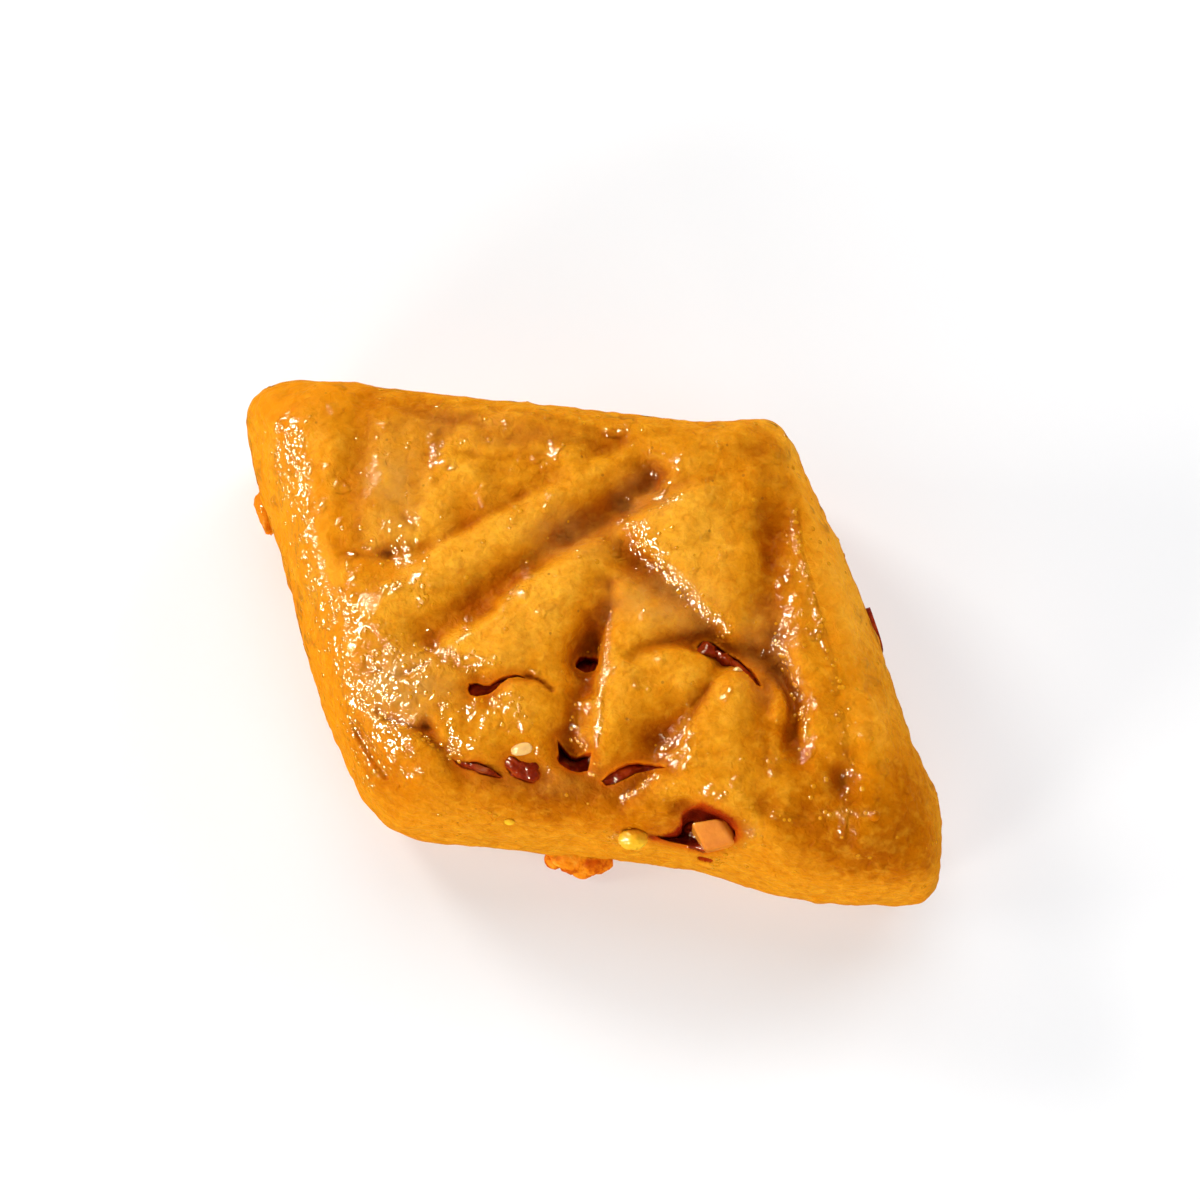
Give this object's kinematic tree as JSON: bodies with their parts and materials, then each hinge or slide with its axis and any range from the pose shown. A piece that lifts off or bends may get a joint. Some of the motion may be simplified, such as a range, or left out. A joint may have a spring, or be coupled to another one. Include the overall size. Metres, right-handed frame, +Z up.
{
  "type": "almond makroud",
  "caption": "Diamond-cut semolina biscuit soaked in honey, with pressed ridges on top, tears that show a date and almond core, and a flat underside to rest on.",
  "frame": {"origin": "centre of the bounding box in plan, on the underside that rests on the table", "axes": "+X along the dough log, towards the right cut face; +Y towards the log's back side; +Z up"},
  "size_m": [0.0558, 0.0356, 0.0185],
  "materials": {
    "glazed_dough": "honey glaze, uneven and sticky",
    "date_paste": "moist dark paste",
    "soaked_almond": "moist, smooth"
  },
  "bodies": {
    "root": {"dough": "glazed_dough", "filling": "date_paste", "almond_piece": "soaked_almond"}
  },
  "joints": []
}
